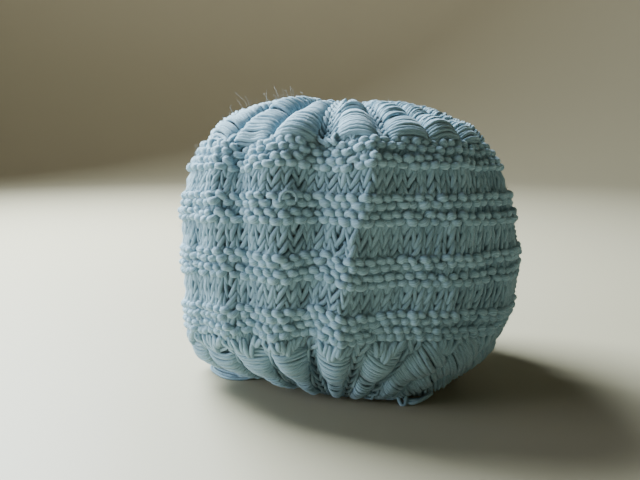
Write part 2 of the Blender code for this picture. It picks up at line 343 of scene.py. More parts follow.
def yarnPiece(name, yarn, material):
    points, height, quads, caps, quadMap, capMap = [np.concatenate(parts) for parts in zip(*yarn)]
    mesh = bpy.data.meshes.new(name)
    mesh.vertices.add(len(points))
    mesh.vertices.foreach_set("co", points.astype(np.float32).ravel())
    corners = np.concatenate([quads.ravel(), caps.ravel()])
    mesh.loops.add(len(corners))
    mesh.loops.foreach_set("vertex_index", corners.astype(np.int32))
    sizes = np.repeat([4, caps.shape[1]], [len(quads), len(caps)])
    mesh.polygons.add(len(sizes))
    mesh.polygons.foreach_set("loop_start", (np.cumsum(sizes) - sizes).astype(np.int32))
    layer = mesh.uv_layers.new(name="yarnRun")
    layer.data.foreach_set("uv", np.concatenate([quadMap, capMap]).astype(np.float32).ravel())
    mesh.update(calc_edges=True)
    mesh.validate()
    mesh.shade_smooth()
    layer = mesh.attributes.new("yarnHeight", "FLOAT", "POINT")
    layer.data.foreach_set("value", height.astype(np.float32))
    mesh.materials.append(material)
    return settle(newObject(name, mesh))


# Material: soft cotton yarn, loosely plied, with fine fibres along it, and painted shade in its ply grooves
# and where it lies deep
yarnLook = {
    # colours from deep to pale, with painted shade, uneven dye and fibres between them
    "pale": (0.372, 0.565, 0.675), "deep": (0.07, 0.14, 0.19),
    "plies": 15, "pitch": 2.0,  # plies side by side round the yarn, and centimetres in a turn
    "bunch": 0.22, "bunchSize": 7.0,  # how unevenly the plies part
    "groove": 0.00009, "fibre": 0.00012,  # metres that plies and fibres stand out
    "fibreAlong": 2.2, "fibreAcross": 21.0,  # fibres are long and thin
    "plyGrooveShade": 0.22, "fibreShare": 1.15, "patchShare": 0.5, "patchSize": 38.0,  # what makes yarn paler: ply crowns against painted shade in their grooves, fibres, and uneven dye and the size of its patches
    "sockets": {"Roughness": 0.95, "Specular IOR Level": 0.2, "Sheen Weight": 0.22, "Sheen Roughness": 0.5,
                "Subsurface Weight": 0.35, "Subsurface Radius": (1.0, 1.0, 1.0), "Subsurface Scale": 0.0008},
    "backStitch": 0, "backStitchShade": 0.3,  # how far the backs of stitches stand out of plain cloth, and how much painted shade lies between them
    "sunk": (-0.0038, -0.0002, 0.0),  # painted shade: from the depth in metres below the outer face where yarn is darkest to where it stops, and the paleness left at the darkest
}


def link(tree, source, target):
    tree.links.new(source, target)


def mathNode(tree, operation, first, second=None):
    node = tree.nodes.new("ShaderNodeMath")
    node.operation = operation
    for socket, value in zip(node.inputs, (first, second)):
        if isinstance(value, (int, float)):
            socket.default_value = value
        elif value is not None:
            link(tree, value, socket)
    return node.outputs[0]


def noiseNode(tree, place, scale, detail=2.0):
    node = tree.nodes.new("ShaderNodeTexNoise")
    node.inputs["Scale"].default_value = scale
    node.inputs["Detail"].default_value = detail
    link(tree, place, node.inputs["Vector"])
    return node.outputs["Fac"]


def bumpNode(tree, height, distance, strength, below=None):
    node = tree.nodes.new("ShaderNodeBump")
    node.inputs["Strength"].default_value = strength
    node.inputs["Distance"].default_value = distance
    link(tree, height, node.inputs["Height"])
    if below is not None:
        link(tree, below, node.inputs["Normal"])
    return node.outputs[0]


def newMaterial(name, sockets):
    material = bpy.data.materials.new(name)
    material.use_nodes = True
    shader = material.node_tree.nodes["Principled BSDF"]
    for socket, value in sockets.items():
        shader.inputs[socket].default_value = value
    return material, material.node_tree, shader


def yarnMaterial(name, look):
    material, tree, shader = newMaterial(name, look["sockets"])
    run = tree.nodes.new("ShaderNodeUVMap")
    run.uv_map = "yarnRun"
    split = tree.nodes.new("ShaderNodeSeparateXYZ")
    link(tree, run.outputs[0], split.inputs[0])
    along, girth = split.outputs[0], split.outputs[1]
    times, plus, sine = [partial(mathNode, tree, name) for name in ("MULTIPLY", "ADD", "SINE")]
    # plies wind round the yarn, and bunch and part unevenly; their grooves are bumped and painted darker as
    # shade
    wound = plus(mathNode(tree, "DIVIDE", along, look["pitch"]), girth)
    bunched = times(noiseNode(tree, run.outputs[0], look["bunchSize"]), look["bunch"])
    phase = times(plus(wound, bunched), look["plies"] * 2 * math.pi)
    crown = mathNode(tree, "POWER", plus(times(sine(phase), 0.5), 0.5), 0.7)
    # fibres lie along the plies
    fibreAt = tree.nodes.new("ShaderNodeCombineXYZ")
    link(tree, times(along, look["fibreAlong"]), fibreAt.inputs[0])
    link(tree, times(wound, look["fibreAcross"]), fibreAt.inputs[1])
    fibre = noiseNode(tree, fibreAt.outputs[0], 1.0)
    # the dye is a little uneven over the whole cover
    place = tree.nodes.new("ShaderNodeTexCoord")
    patch = noiseNode(tree, place.outputs["Object"], look["patchSize"], 3.0)
    dyeTone = times(mathNode(tree, "SUBTRACT", patch, 0.5), look["patchShare"])
    # paleness from painted shade in the ply grooves, uneven dye and fibres
    light = plus(plus(times(crown, look["plyGrooveShade"]), dyeTone), times(fibre, look["fibreShare"]))
    humps = None
    if look["backStitch"]:  # on cloth that has no strands of its own: backs of stitches as bumps, with painted shade between them
        stitches = times(sine(times(along, 4 * math.pi)), sine(times(girth, 4 * math.pi)))
        light = plus(light, times(stitches, look["backStitchShade"]))
        humps = bumpNode(tree, stitches, look["backStitch"], 1.0)
    # painted shade: darker where the yarn lies deep
    height = tree.nodes.new("ShaderNodeAttribute")
    height.attribute_name = "yarnHeight"
    sunk = tree.nodes.new("ShaderNodeMapRange")
    sunk.interpolation_type = "SMOOTHSTEP"
    for socket, value in zip(("From Min", "From Max", "To Min"), look["sunk"]):
        sunk.inputs[socket].default_value = value
    link(tree, height.outputs["Fac"], sunk.inputs["Value"])
    keep = tree.nodes.new("ShaderNodeClamp")
    link(tree, times(light, sunk.outputs["Result"]), keep.inputs[0])
    mix = tree.nodes.new("ShaderNodeMix")
    mix.data_type = "RGBA"
    link(tree, keep.outputs[0], mix.inputs[0])
    mix.inputs[6].default_value = (*look["deep"], 1)
    mix.inputs[7].default_value = (*look["pale"], 1)
    link(tree, mix.outputs[2], shader.inputs["Base Color"])
    plied = bumpNode(tree, crown, look["groove"], 0.8, humps)
    link(tree, bumpNode(tree, fibre, look["fibre"], 0.7, plied), shader.inputs["Normal"])
    return material


yarnFinish = yarnMaterial("cotton_yarn_plied", yarnLook)

# Body: knitted courses round the cover. Level is the middle of a course in rows.
body = {
    "plainPoints": 12, "plainSides": 6,  # points in a stitch and sides of the yarn between the bands
    "bandPoints": 20, "bandSides": 8,  # and in the bands
    "leg": 0.00112, "bump": 0.00172,  # yarn radius where it is drawn tight, and on a bump
    "thick": 0.14,  # how much one leg of a loop is thicker than the other
    "depth": 0.00130,  # how far the yarn swings in front and behind
    "sink": 0.0001,  # how much deeper a leg lies than a bump
    "leanKnit": 0.33, "leanPurl": 0.12,  # how far the legs of a loop lean outwards
    "leanColumns": (-5, -2.4, -1.2, 0.4, 1.4, 2.2, 3.4, 4.2, 5),  # and how that changes round the front
    "leanShares": (1, 0.8, 1.15, 1.1, 0.85, 0.6, 0.7, 1.2, 1),
    "skew": 0.09,  # how far the head of a loop is pulled along
    "flat": 0.20, "tilt": 0.16,  # how flat a bump's arch is, and how far it slopes
    "across": 0.016, "up": 0.06, "out": 0.00022, "swell": 0.06,  # soft unevenness over many stitches
    "uneven": {"size": 0.06, "row": 0.06, "lean": 0.07, "place": 0.022, "radius": 0.06,
               "lift": 0.00022, "tilt": 0.09},  # and from one stitch to the next
    "firstCourses": (10.4, 12.0), "lastCourse": 41.2, "lastRoom": 1.2,  # rows
    "slitGap": 0.06, "overlap": 0.03,  # stitches short of a slit, or over its own ends
}

# Garter bands: rows from the valley in the middle of a band to its courses and the crests of its ridges
bands = {
    "valleys": (15.2, 23.0, 31.0, 38.3), "inner": 0.58, "outer": 1.62, "edge": 1.75,
    "crest": 1.1, "crestHalf": 1.15, "crestSlope": 0.6,
    "plainShares": (0.20, 0.58),  # where the two plain courses lie between bands
}
# rows by which each band rides up, or sags where the number is negative, at columns round the front
hangColumns = (-4.5, -3.0, -2.2, -1.6, -1.2, -0.5, -0.2, 0.2, 1.0, 2.0, 3.0, 4.5)
hangs = (
    (0.0, 0.7, 0.9, 0.7, 0.5, 1.0, 0.3, -0.4, 0.3, 0.1, 0.0, 0.0),
    (0.0, 0.9, 0.9, 0.5, 0.2, 1.0, 0.2, -0.2, 0.0, 0.0, 0.4, 0.0),
    (0.0, 0.4, 0.4, 0.4, 0.4, 0.3, 0.1, 0.0, 0.1, 0.1, 0.1, 0.0),
    (0.0, 0.1, -0.4, 0.0, 0.3, -0.6, -0.8, 0.1, 0.0, -0.2, -0.5, 0.0),
)
hangFade = {"below": 5, "above": 6}  # rows past the first and the last band
# column, valley, reach in columns, rows by which the ridges are drawn apart there
pinches = [(2.75, 31.0, 0.75, 0.34), (1.90, 23.0, 0.60, 0.22), (3.10, 23.0, 0.50, 0.25),
           (2.60, 15.2, 0.80, 0.28), (0.75, 38.3, 0.50, 0.20), (2.30, 38.3, 0.60, 0.18),
           (-2.55, 31.0, 0.35, 0.22), (8.2, 31.0, 1.0, 0.3), (12.4, 23.0, 0.9, 0.3), (10.2, 15.2, 0.8, 0.25)]
pinch = {"turnRows": 0.4, "reachRows": 2.2, "depth": 0.0034, "depthRows": 0.75}


def pinchAt(column, row):  # rows moved away from the valley, and how far the yarn sinks into it
    moved = np.zeros_like(row)
    sunk = np.zeros_like(row)
    for along, valley, reach, strength in pinches:
        near = strength * bell(around(column, along) / reach)
        above = row - valley
        fade = clamp(pinch["reachRows"] - np.abs(above))
        moved = moved + near * np.clip(above / pinch["turnRows"], -1, 1) * fade
        sunk = sunk + near * pinch["depth"] * bell(above / pinch["depthRows"])
    return moved, sunk


def hangAt(column, row):
    first, *_, last = bands["valleys"]
    rows = (first - hangFade["below"], *bands["valleys"], last + hangFade["above"])
    total = np.zeros_like(row)
    for number, hung in enumerate(hangs):
        near = np.interp(row, rows[number:number + 3], (0, 1, 0))
        total = total + near * np.interp(around(column, 0.0), hangColumns, hung, left=0, right=0)
    return total


def courseTable():  # level of each course, and whether it is knit (1) or purl (-1)
    inner, outer = bands["inner"], bands["outer"]
    levels = [(level, 1) for level in body["firstCourses"]]
    for number, valley in enumerate(bands["valleys"]):
        levels += [(valley - outer, 1), (valley - inner, -1), (valley + inner, 1), (valley + outer, -1)]
        if number + 1 < len(bands["valleys"]):
            room = bands["valleys"][number + 1] - valley - 2 * outer
            levels += [(valley + outer + share * room, 1) for share in bands["plainShares"]]
    return levels + [(body["lastCourse"], 1)]


def ridgeLift(row):
    total = np.zeros_like(row)
    for valley in bands["valleys"]:
        for crest in (valley - bands["crest"], valley + bands["crest"]):
            total = total + smooth((bands["crestHalf"] - np.abs(row - crest)) / bands["crestSlope"])
    return total * cover["ridgeRise"]


def loopShape(turn, bottomSign, topSign):  # turn runs from one sinker to the next, 0 to 2 pi
    rise = np.cos(turn)  # 1 at the sinkers, -1 at the head of the loop
    high = smooth(0.5 - rise / 0.7)
    sign = bottomSign * (1 - high) + topSign * high
    tight = (bottomSign < 0) * (1 - high) + (topSign < 0) * high
    front = (1 - 2 * np.abs(rise) ** (3 - tight)) * sign
    lean = (body["leanKnit"] if bottomSign > 0 else body["leanPurl"]) * (1 - high)
    lean = lean + (body["leanKnit"] if topSign > 0 else body["leanPurl"]) * high
    bump = (bottomSign < 0) * smooth((rise - 0.2) / 0.6) + (topSign < 0) * smooth((-0.1 - rise) / 0.6)
    return lean * np.sin(2 * turn), front, clamp(bump)


def stitchShares(bottomSign, topSign, points):  # where the points of a stitch lie along its turn
    turn = np.linspace(0, 2 * np.pi, 241)
    rise = np.cos(turn)
    weight = 1 + 0.6 * rise ** 2
    weight = weight + 2.2 * (bottomSign < 0) * clamp(1.5 * rise)
    weight = weight + 2.2 * (topSign < 0) * clamp(-1.5 * rise)
    total = np.concatenate([[0], np.cumsum(weight[1:] + weight[:-1])])
    return np.interp(np.arange(points) / points * total[-1], total, turn / (2 * np.pi))


def courseLine(levels, index, start, stop, isOpen):  # start and stop count stitches
    level, bottomSign = levels[index]
    below = levels[index - 1][0]
    above, topSign = levels[index + 1] if index + 1 < len(levels) else (level + body["lastRoom"], 1)
    banded = bottomSign < 0 or topSign < 0
    shares = stitchShares(bottomSign, topSign, body["bandPoints"] if banded else body["plainPoints"])
    run = (np.arange(int(start), int(stop))[:, None] + shares).ravel()
    short = body["slitGap"] if isOpen else -body["overlap"]
    low, high = start + short, stop - short
    run = np.concatenate([[low], run[(run > low + 0.02) & (run < high - 0.02)], [high]])
    turn = 2 * np.pi * (run % 1.0)
    lean, front, bump = loopShape(turn, bottomSign, topSign)
    lean = lean * np.interp(around(run / cover["stitches"], 0.0), body["leanColumns"], body["leanShares"])
    count = cover["repeats"] * cover["stitches"]
    stitch = np.arange(-1, 2 * count + 2)
    uneven = {}
    for (name, amount), values in zip(body["uneven"].items(), rng.normal(size=(7, count)).clip(-2, 2)):
        uneven[name] = amount * np.interp(run, stitch + 0.5, values[stitch % count])
    swing = np.cos(turn)
    swing = swing * (1 + body["flat"] * bump * (1 - swing ** 2))
    reach = np.where(swing > 0, level - below, above - level) * (1 + uneven["size"])
    row = level - reach * swing + uneven["row"]
    place = run + lean * (1 + uneven["lean"]) + uneven["place"] - body["skew"] * (1 - bump) * swing
    column = place / cover["stitches"]
    near = np.ones_like(column)
    for centre, *_ in openings.values():
        near = np.minimum(near, clamp(np.abs(around(column, centre)) / 0.5))
    column = column + near * body["across"] * driftAcross(column, row)
    row = row + body["up"] * driftUp(column, row)
    radius = body["leg"] * (1 - body["thick"] * np.sin(turn)) * (1 - bump) + body["bump"] * bump
    radius = radius * (1 + body["swell"] * driftThick(column, row)) * (1 + uneven["radius"])
    lift = front * body["depth"] - body["depth"] - body["bump"] + ridgeLift(row)
    lift = lift + body["out"] * driftOut(column, row) + uneven["lift"] * (0.4 + bump)
    tilt = (body["tilt"] * (topSign < 0) + uneven["tilt"]) * bump * np.sin(turn)
    moved, sunk = pinchAt(column, row)
    row = row + hangAt(column, row) + tilt + moved
    return column, row, lift - sunk - body["sink"] * (1 - bump), radius


def courseEnds(level):  # the stitches where a course starts and stops: the slits that it meets, or the handle
    count = cover["repeats"] * cover["stitches"]
    spout, handle = [openings[name][0] * cover["stitches"] for name in ("spout", "handle")]
    spoutOpen, handleOpen = [openings[name][1] < level < openings[name][2] for name in ("spout", "handle")]
    if spoutOpen and handleOpen:
        return [spout, handle, spout + count], True
    if spoutOpen:
        return [spout, spout + count], True
    return [handle, handle + count], handleOpen


def knitBody(levels):
    plain = []
    banded = [[] for _ in bands["valleys"]]
    for index in range(1, len(levels)):
        level = levels[index][0]
        ends, isOpen = courseEnds(level)
        nearest = int(np.argmin(np.abs(np.array(bands["valleys"]) - level)))
        inBand = abs(bands["valleys"][nearest] - level) < bands["edge"]
        yarn = banded[nearest] if inBand else plain
        sides = body["bandSides"] if inBand else body["plainSides"]
        for start, stop in zip(ends, ends[1:]):
            column, row, lift, radius = courseLine(levels, index, start, stop, isOpen)
            if isOpen:
                column = np.clip(column, (start + body["slitGap"]) / cover["stitches"],
                                 (stop - body["slitGap"]) / cover["stitches"])
            lay(yarn, onCloth, column, row, lift, radius, sides)
    return plain, banded


plainYarn, bandYarns = knitBody(courseTable())
pieces = [yarnPiece("plain_courses", plainYarn, yarnFinish)]
for number, yarn in enumerate(bandYarns):
    pieces.append(yarnPiece("garter_band_%d" % (number + 1), yarn, yarnFinish))
print("body knitted")

# Gathered leaves: strands wrapped across a puff of cloth, wide at the body end
leaf = {
    "ends": {"lower": (11.9, 0.9), "upper": (40.05, 55.2)},  # rows at the body and at the tip
    "strand": 0.00104, "spacing": 0.42,  # radius, and rows between strands
    "half": {"lower": 0.37, "upper": 0.44}, "tipHalf": {"lower": 0.21, "upper": 0.31},  # columns
    "tilt": {"lower": -0.30, "upper": 0.0},  # rows by which the first strands slope
    "deep": -0.0050, "deepShare": 0.35, "round": 2.4, "full": 0.55, "points": 10, "sides": 5,
    "tuck": {"lower": 0.0020, "upper": 0.0012},  # how far the body end is tucked in
    "tuckRows": {"lower": 1.6, "upper": 1.0},
    "rise": {"lower": 0.0008, "upper": 0.0016},
    "uneven": {"lower": 0.00016, "upper": 0.00022},
    "steepest": 3.2, "overRows": 0.2,  # limits to how far a slanting strand climbs
    "creaseWide": 0.09, "creaseDeep": 0.0016,
    "narrow": 0.006,  # below this half width, strands are thinner
    "rows": (0.25, 55.8),  # no strand leaves these rows
    "parted": 0.08, "partedDeep": 0.0004, "partedFrom": 1.8,  # share of strands that lie lower
}
leafSteady = {"lower": (19, 0, 1), "upper": (18, 19, 0, 1)}  # leaves that aren't shifted at random
leafClose = {1: 0.80, 2: 0.50, 3: 0.48, 4: 0.60, 5: 0.80}  # slanting lower leaves have closer strands
leafArch = {18: 0.1, 19: 0.30, 0: 0.90, 1: 0.55}  # rows that strands of upper leaves arch
leafCrease = {  # where along its length a leaf is creased, and how deeply
    "lower": {18: (0.46, 1.0), 19: (0.50, 1.1), 0: (0.48, 1.2),
              1: (0.42, 1.4), 2: (0.38, 1.3), 3: (0.38, 1.2)},
    "upper": {18: (0.36, 1.2), 19: (0.42, 0.5), 0: (0.5, 0.0),
              1: (0.30, 1.3), 2: (0.32, 1.2), 3: (0.30, 1.0)},
}
# rows where a strand of an upper leaf has lifted, the dip under it and the strand over the dip
leafGap = {"rows": {0: 45.5, 1: 43.8}, "dip": 0.0022, "dipRows": 0.42,
           "over": 0.0011, "overAt": 0.9, "overRows": 0.45}


def squareTilt(column, row, half):  # rows that a strand climbs to lie square across a leaf that leans
    step = 0.05
    across, along = slopesAt(column, row, step)
    slope = (leafTurn(column, row + step) - leafTurn(column, row - step)) / (2 * step)
    axis = along + slope[..., None] * across
    return -half * (across * axis).sum(-1) / (along * axis).sum(-1)


def strandTop(zone, row):  # how far the strands of a leaf stand out along its middle
    return cover["leafRise"] * leafPuff(row) + leaf["rise"][zone]


def leafHalf(zone, far):  # half width of a leaf in columns; far runs from 0 at the body to 1 at the tip
    return leaf["half"][zone] + (leaf["tipHalf"][zone] - leaf["half"][zone]) * smooth(1.25 * far)


def leafStrands(yarn, zone, number):  # one strand after another from the body to the tip
    bodyRow, tipRow = leaf["ends"][zone]
    lower = zone == "lower"
    shift = rng.uniform(-0.05, 0.05) * (number not in leafSteady[zone])
    arch = rng.uniform(0.2, 0.9)
    arch = -0.7 * arch if lower else leafArch.get(number, arch)
    creaseAt, creaseDepth = rng.uniform(0.40, 0.58), rng.uniform(0.4, 1.0)
    if not lower:
        creaseAt, creaseDepth = creaseAt - 0.12, max(0.7 * creaseDepth - 0.2, 0)
    creaseAt, creaseDepth = leafCrease[zone].get(number, (creaseAt, creaseDepth))
    spacing = leaf["spacing"] * (leafClose.get(number, 1.0) if lower else 1.0)
    rows = bodyRow + np.sign(tipRow - bodyRow) * np.arange(0, abs(tipRow - bodyRow), spacing)
    rows = (rows + rng.normal(size=len(rows)) * 0.05)[:, None]
    far = clamp(np.abs(rows - bodyRow) / abs(tipRow - bodyRow))
    across = np.sin(np.linspace(-0.5, 0.5, leaf["points"]) * np.pi)[None]
    crease = creaseDepth * bell((far - creaseAt) / leaf["creaseWide"])
    half = leafHalf(zone, far) * (1 + 0.03 * rng.normal(size=far.shape)) * (1 - 0.10 * crease)
    centre = leafMiddle(number, rows) + shift * (1 - far)
    square = squareTilt(centre, rows, half) if lower else 0.0
    lean = np.clip(square, -leaf["steepest"], leaf["steepest"]) + leaf["tilt"][zone] * (1 - far)
    lean = lean + rng.normal(size=far.shape) * 0.06
    row = rows + arch * (1 - across ** 2) * (1 - 0.6 * far) + lean * across
    row = row + 0.10 * rng.normal(size=far.shape) * (1 - across ** 2)
    if lower:  # no strand climbs far into the body
        over = row - bodyRow - leaf["overRows"]
        row = np.where(over > 0, bodyRow + leaf["overRows"] + over / (1 + 0.8 * over), row)
    width = columnWidth(np.broadcast_to(centre, row.shape), row)
    tucked = clamp(1 - np.abs(rows - bodyRow) / leaf["tuckRows"][zone]) ** 1.5
    top = strandTop(zone, rows) - leaf["strand"] - leaf["tuck"][zone] * tucked
    parted = (rng.random(far.shape) < leaf["parted"]) & (np.abs(rows - bodyRow) > leaf["partedFrom"])
    top = top + leaf["uneven"][zone] * rng.normal(size=far.shape)
    top = top - leaf["partedDeep"] * parted - leaf["creaseDeep"] * crease
    if not lower and number in leafGap["rows"]:
        above = rows - leafGap["rows"][number]
        top = top - leafGap["dip"] * bell(above / leafGap["dipRows"])
        top = top + leafGap["over"] * bell((above - leafGap["overAt"]) / leafGap["overRows"])
    deep = np.maximum(leaf["deep"], -leaf["deepShare"] * width * half)
    lift = deep + (top - deep) * clamp(1 - np.abs(across) ** leaf["round"]) ** leaf["full"]
    radius = leaf["strand"] * np.clip(width * half / leaf["narrow"], 0.6, 1.0)
    radius = radius * (1 + 0.08 * rng.normal(size=far.shape))
    lay(yarn, onFolds, centre + half * across, np.clip(row, *leaf["rows"]), lift, radius, leaf["sides"])


leafSides = {"radius": 0.00085, "out": 0.03, "wave": 0.02, "lift": -0.0020, "swing": 0.0006, "points": 24,
             "ends": (11.4, 1.0)}


def edgeStrands(yarn, number):  # long strands along both sides of a lower leaf
    rows = np.linspace(*leafSides["ends"], leafSides["points"])
    far = np.abs(rows - rows[0]) / abs(rows[-1] - rows[0])
    for side in (-1, 1):
        wave = leafSides["wave"] * np.sin(rows * rng.uniform(0.8, 1.4) + rng.uniform(0, 6))
        place = leafMiddle(number, rows) + side * (leafHalf("lower", far) + leafSides["out"] + wave)
        lift = leafSides["lift"] + leafSides["swing"] * np.sin(rows * 1.3 + rng.uniform(0, 6))
        lay(yarn, onFolds, place, rows, lift, leafSides["radius"], leaf["sides"])


drawn = {"from": 13.2, "long": (2.1, 3.0),  # rows
         "shorter": 3.2,  # rows less for each column off the middle of the leaf
         "columns": (-0.22, 0.01, 0.23), "points": 9, "radius": 0.00090, "under": -0.0016, "over": 0.0008}


def leafPoints(yarn, number):  # the stitches above a lower leaf are drawn out long where they run on to it
    middle = leafMiddle(number, np.array(leaf["ends"]["lower"][0] - 0.4))
    lean = rng.uniform(-0.07, 0.07)
    part = np.linspace(0, 1, drawn["points"])
    for centre in drawn["columns"]:
        long = rng.uniform(*drawn["long"]) - drawn["shorter"] * abs(centre)
        point = centre * rng.uniform(0.45, 0.75) + lean
        for side in (-1, 1):
            rows = drawn["from"] + rng.normal() * 0.15 - (long + rng.uniform(-0.25, 0.25)) * part
            start = centre + side * rng.uniform(0.075, 0.105)
            stop = point + side * rng.uniform(0.005, 0.030)
            place = middle + start + (stop - start) * part ** 0.8
            top = strandTop("lower", rows) + drawn["over"]
            lift = drawn["under"] + top * np.sin(np.pi * (0.15 + 0.75 * part))
            radius = drawn["radius"] + rng.uniform(0.0004, 0.0007) * np.sin(np.pi * part) ** 0.7
            lay(yarn, onFolds, place, rows, lift, radius, leaf["sides"])


lowerLeaves, upperLeaves = [], []
for number in range(cover["repeats"]):
    leafStrands(lowerLeaves, "lower", number)
    edgeStrands(lowerLeaves, number)
    leafPoints(lowerLeaves, number)
    leafStrands(upperLeaves, "upper", number)
pieces.append(yarnPiece("leaves_lower", lowerLeaves, yarnFinish))
pieces.append(yarnPiece("leaves_upper", upperLeaves, yarnFinish))
print("leaves gathered")

# Ribs: a chain of plain stitches runs between the leaves
rib = {
    "pitch": 1.40, "points": 12, "sides": 5, "leg": 0.00112, "depth": 0.0011,  # rows in a stitch, metres
    "width": 0.0050, "widest": 0.28,  # metres, and columns it never goes past
    "rows": (0.3, 55.8),  # no stitch leaves these rows
    "lower": (0.9, 12.4, 0.0010), "upper": (41.0, 55.5, 0.0012),  # first and last row, and lift
    "front": (40.6, 53.0, 0.0036), "frontColumns": (19.49, 19.62),  # a wider rib between the two front leaves
}


def ribChain(yarn, column, firstRow, lastRow, rise):
    levels = np.arange(firstRow, lastRow, rib["pitch"])[:, None]
    turn = np.linspace(0.10, 0.90, rib["points"])[None] * 2 * np.pi
    lean, front, _ = loopShape(turn, 1, 1)
    row = np.clip(levels - rib["pitch"] * np.cos(turn) * 0.95, *rib["rows"])
    wide = columnWidth(leafMiddle(column, row), row)
    fit = np.minimum(rib["width"] / wide, rib["widest"])
    place = leafMiddle(column, row) + (turn / (2 * np.pi) - 0.5 + lean) * fit
    thin = np.clip(fit * wide / rib["width"], 0.45, 1)
    lift = (front - 1) * rib["depth"] * thin - rib["leg"] * thin + rise
    # the height for the painted shade counts the cloth drawn in between the leaves, so ribs are painted
    # darker there
    sunk = lift + clothRise(place, row)
    sweep(yarn, onCloth(place, row, lift), rib["leg"] * thin, outwardAt(place, row), sunk, rib["sides"])


ribs = []
for number in range(cover["repeats"]):
    ribChain(ribs, number + 0.5, *rib["lower"])
    ribChain(ribs, number + 0.5, *rib["upper"])
for column in rib["frontColumns"]:
    ribChain(ribs, column, *rib["front"])
pieces.append(yarnPiece("ribs", ribs, yarnFinish))

# Edges: the hem, the ring round the knob hole and the sides of the two slits, each of two strands wound
# round one another
edge = {
    "strand": 0.00100, "swing": 0.0009, "rowSwing": 0.22, "pointsPerTurn": 9,
    "rings": ((100, 0.55, -0.0012), (26, 55.6, -0.0016)),  # turns, row and lift of the hem and the knob hole
    "slitPitch": 1.5, "slitStep": 0.16, "slitPast": 0.6,  # rows
    "slitOut": 0.05, "slitSwing": 0.035,  # columns
    "slitLift": -0.0022, "slitDepth": 0.0012,
}
edges = []
for turnCount, ringRow, ringLift in edge["rings"]:
    share = np.linspace(0, 1, turnCount * edge["pointsPerTurn"] + 1)
    columns = openings["spout"][0] + cover["repeats"] * share
    for start in (0.0, 0.5):
        turn = 2 * np.pi * (turnCount * share + start)
        rows = ringRow + edge["rowSwing"] * np.cos(turn)
        lift = ringLift + edge["swing"] * np.sin(turn)
        radius = edge["strand"] * (1 + 0.1 * np.sin(turn * 0.37))
        # half the lift goes to the painted shade, so the edges are painted less dark
        sweep(edges, onCloth(columns, rows, lift), radius, outwardAt(columns, rows), lift * 0.5)
for centre, first, last, *_ in openings.values():
    rows = np.arange(first - edge["slitPast"], last + edge["slitPast"], edge["slitStep"])
    for side in (-1, 1):
        for start in (0.0, 0.5):
            turn = 2 * np.pi * (rows / edge["slitPitch"] + start)
            place = centre + side * (edge["slitOut"] + edge["slitSwing"] * np.cos(turn))
            lift = edge["slitLift"] + edge["slitDepth"] * np.sin(turn)
            lay(edges, onCloth, place, rows, lift, edge["strand"])
pieces.append(yarnPiece("edges", edges, yarnFinish))
print("ribs and edges knitted")

# Loose yarn: a loop pulled out of the third band, and the loops and strands that show under the hem
loose = []


def looseStrand(points, radius, count=14, deep=-0.001):  # a strand through given points, in metres
    # deep is the height that the painted shade reads: lower paints the strand darker
    points = np.array(points, float)
    slopes = np.gradient(points, axis=0)
    along = np.linspace(0, len(points) - 1, count)
    low = np.clip(along.astype(int), 0, len(points) - 2)
    line = smoothRun((along - low)[:, None], points[low], slopes[low], points[low + 1], slopes[low + 1])
    sweep(loose, line, radius, unit(line - (0, 0, 0.05)), deep)  # out from the middle of the cover


turn = np.linspace(-0.10, 1.08, 15) * np.pi
loop = (-1.20 - 0.125 * np.cos(turn), 32.45 + 1.05 * np.sin(turn), 0.0022 + 0.0006 * np.sin(turn))
looseStrand(onCloth(*loop), 0.00062, 24, 0.0)
hank = {"strands": 9, "radius": 0.00076, "points": 26, "deep": -0.0006,
        "low": 0.0009, "pile": 0.0008, "apart": 0.0009, "stagger": 0.0011,
        "uneven": (0.0016, 0.0010, 0.0014, 0.0022)}  # of the slide, the turn and the two ends
for number in range(hank["strands"]):  # inner strands that have slipped out under the hem by the handle
    low = hank["low"] + hank["pile"] * (number // 2)
    inside = hank["apart"] * number - hank["stagger"] * (number % 2)
    slide, turned, nearEnd, farEnd = rng.normal(size=4).clip(-1.5, 1.5) * hank["uneven"]
    looseStrand([(-0.0450, -0.0200, 0.0024 + low * 0.5), (-0.0545, -0.0190 + nearEnd, low * 0.8),
                 (-0.0622 + inside, -0.0168 + slide, low * 0.9),
                 (-0.0690 + inside - turned, -0.0112 + slide, low),
                 (-0.0728 + inside, -0.0020 + slide + farEnd, low + 0.0004),
                 (-0.0694 + inside + turned, 0.0072 + slide + farEnd, low),
                 (-0.0590, 0.0128 - inside + farEnd, low * 0.9),
                 (-0.0440, 0.0160 + farEnd, 0.0026 + low * 0.5)],
                hank["radius"], hank["points"], hank["deep"])
looseStrand([(0.0222, -0.0465, 0.0050), (0.0212, -0.0500, 0.0078), (0.0208, -0.0520, 0.0045),
             (0.0222, -0.0532, 0.0010), (0.0240, -0.0532, 0.0010), (0.0246, -0.0515, 0.0045),
             (0.0232, -0.0495, 0.0068), (0.0240, -0.0460, 0.0050)], 0.00085, 30)  # a loop at the front
for number in range(5):  # the few strands beside it
    out = 0.0011 * number
    looseStrand([(0.0240, -0.0480 - out * 0.5, 0.0018 + out * 0.2),
                 (0.0270, -0.0500 - out * 0.6, 0.0012 + 0.0008 * (number % 2)),
                 (0.0325, -0.0480 - out * 0.7, 0.0016 + out * 0.2),
                 (0.0375, -0.0445 - out * 0.3, 0.0034)], 0.00095)
pieces.append(yarnPiece("loose_yarn", loose, yarnFinish))

# Fuzz: short fibres that stand off the yarn, with a few long ones at the top by the handle
fuzz = {"short": 2300, "shortLength": (0.0012, 0.0036), "shortStand": 0.45,
        "long": 26, "longLength": (0.006, 0.012), "longStand": 0.75,
        "longColumn": (-3.2, 1.2), "longRows": (42, 53),  # their middle and spread, and their rows
        "radius": 0.00005, "points": 4, "sides": 3}


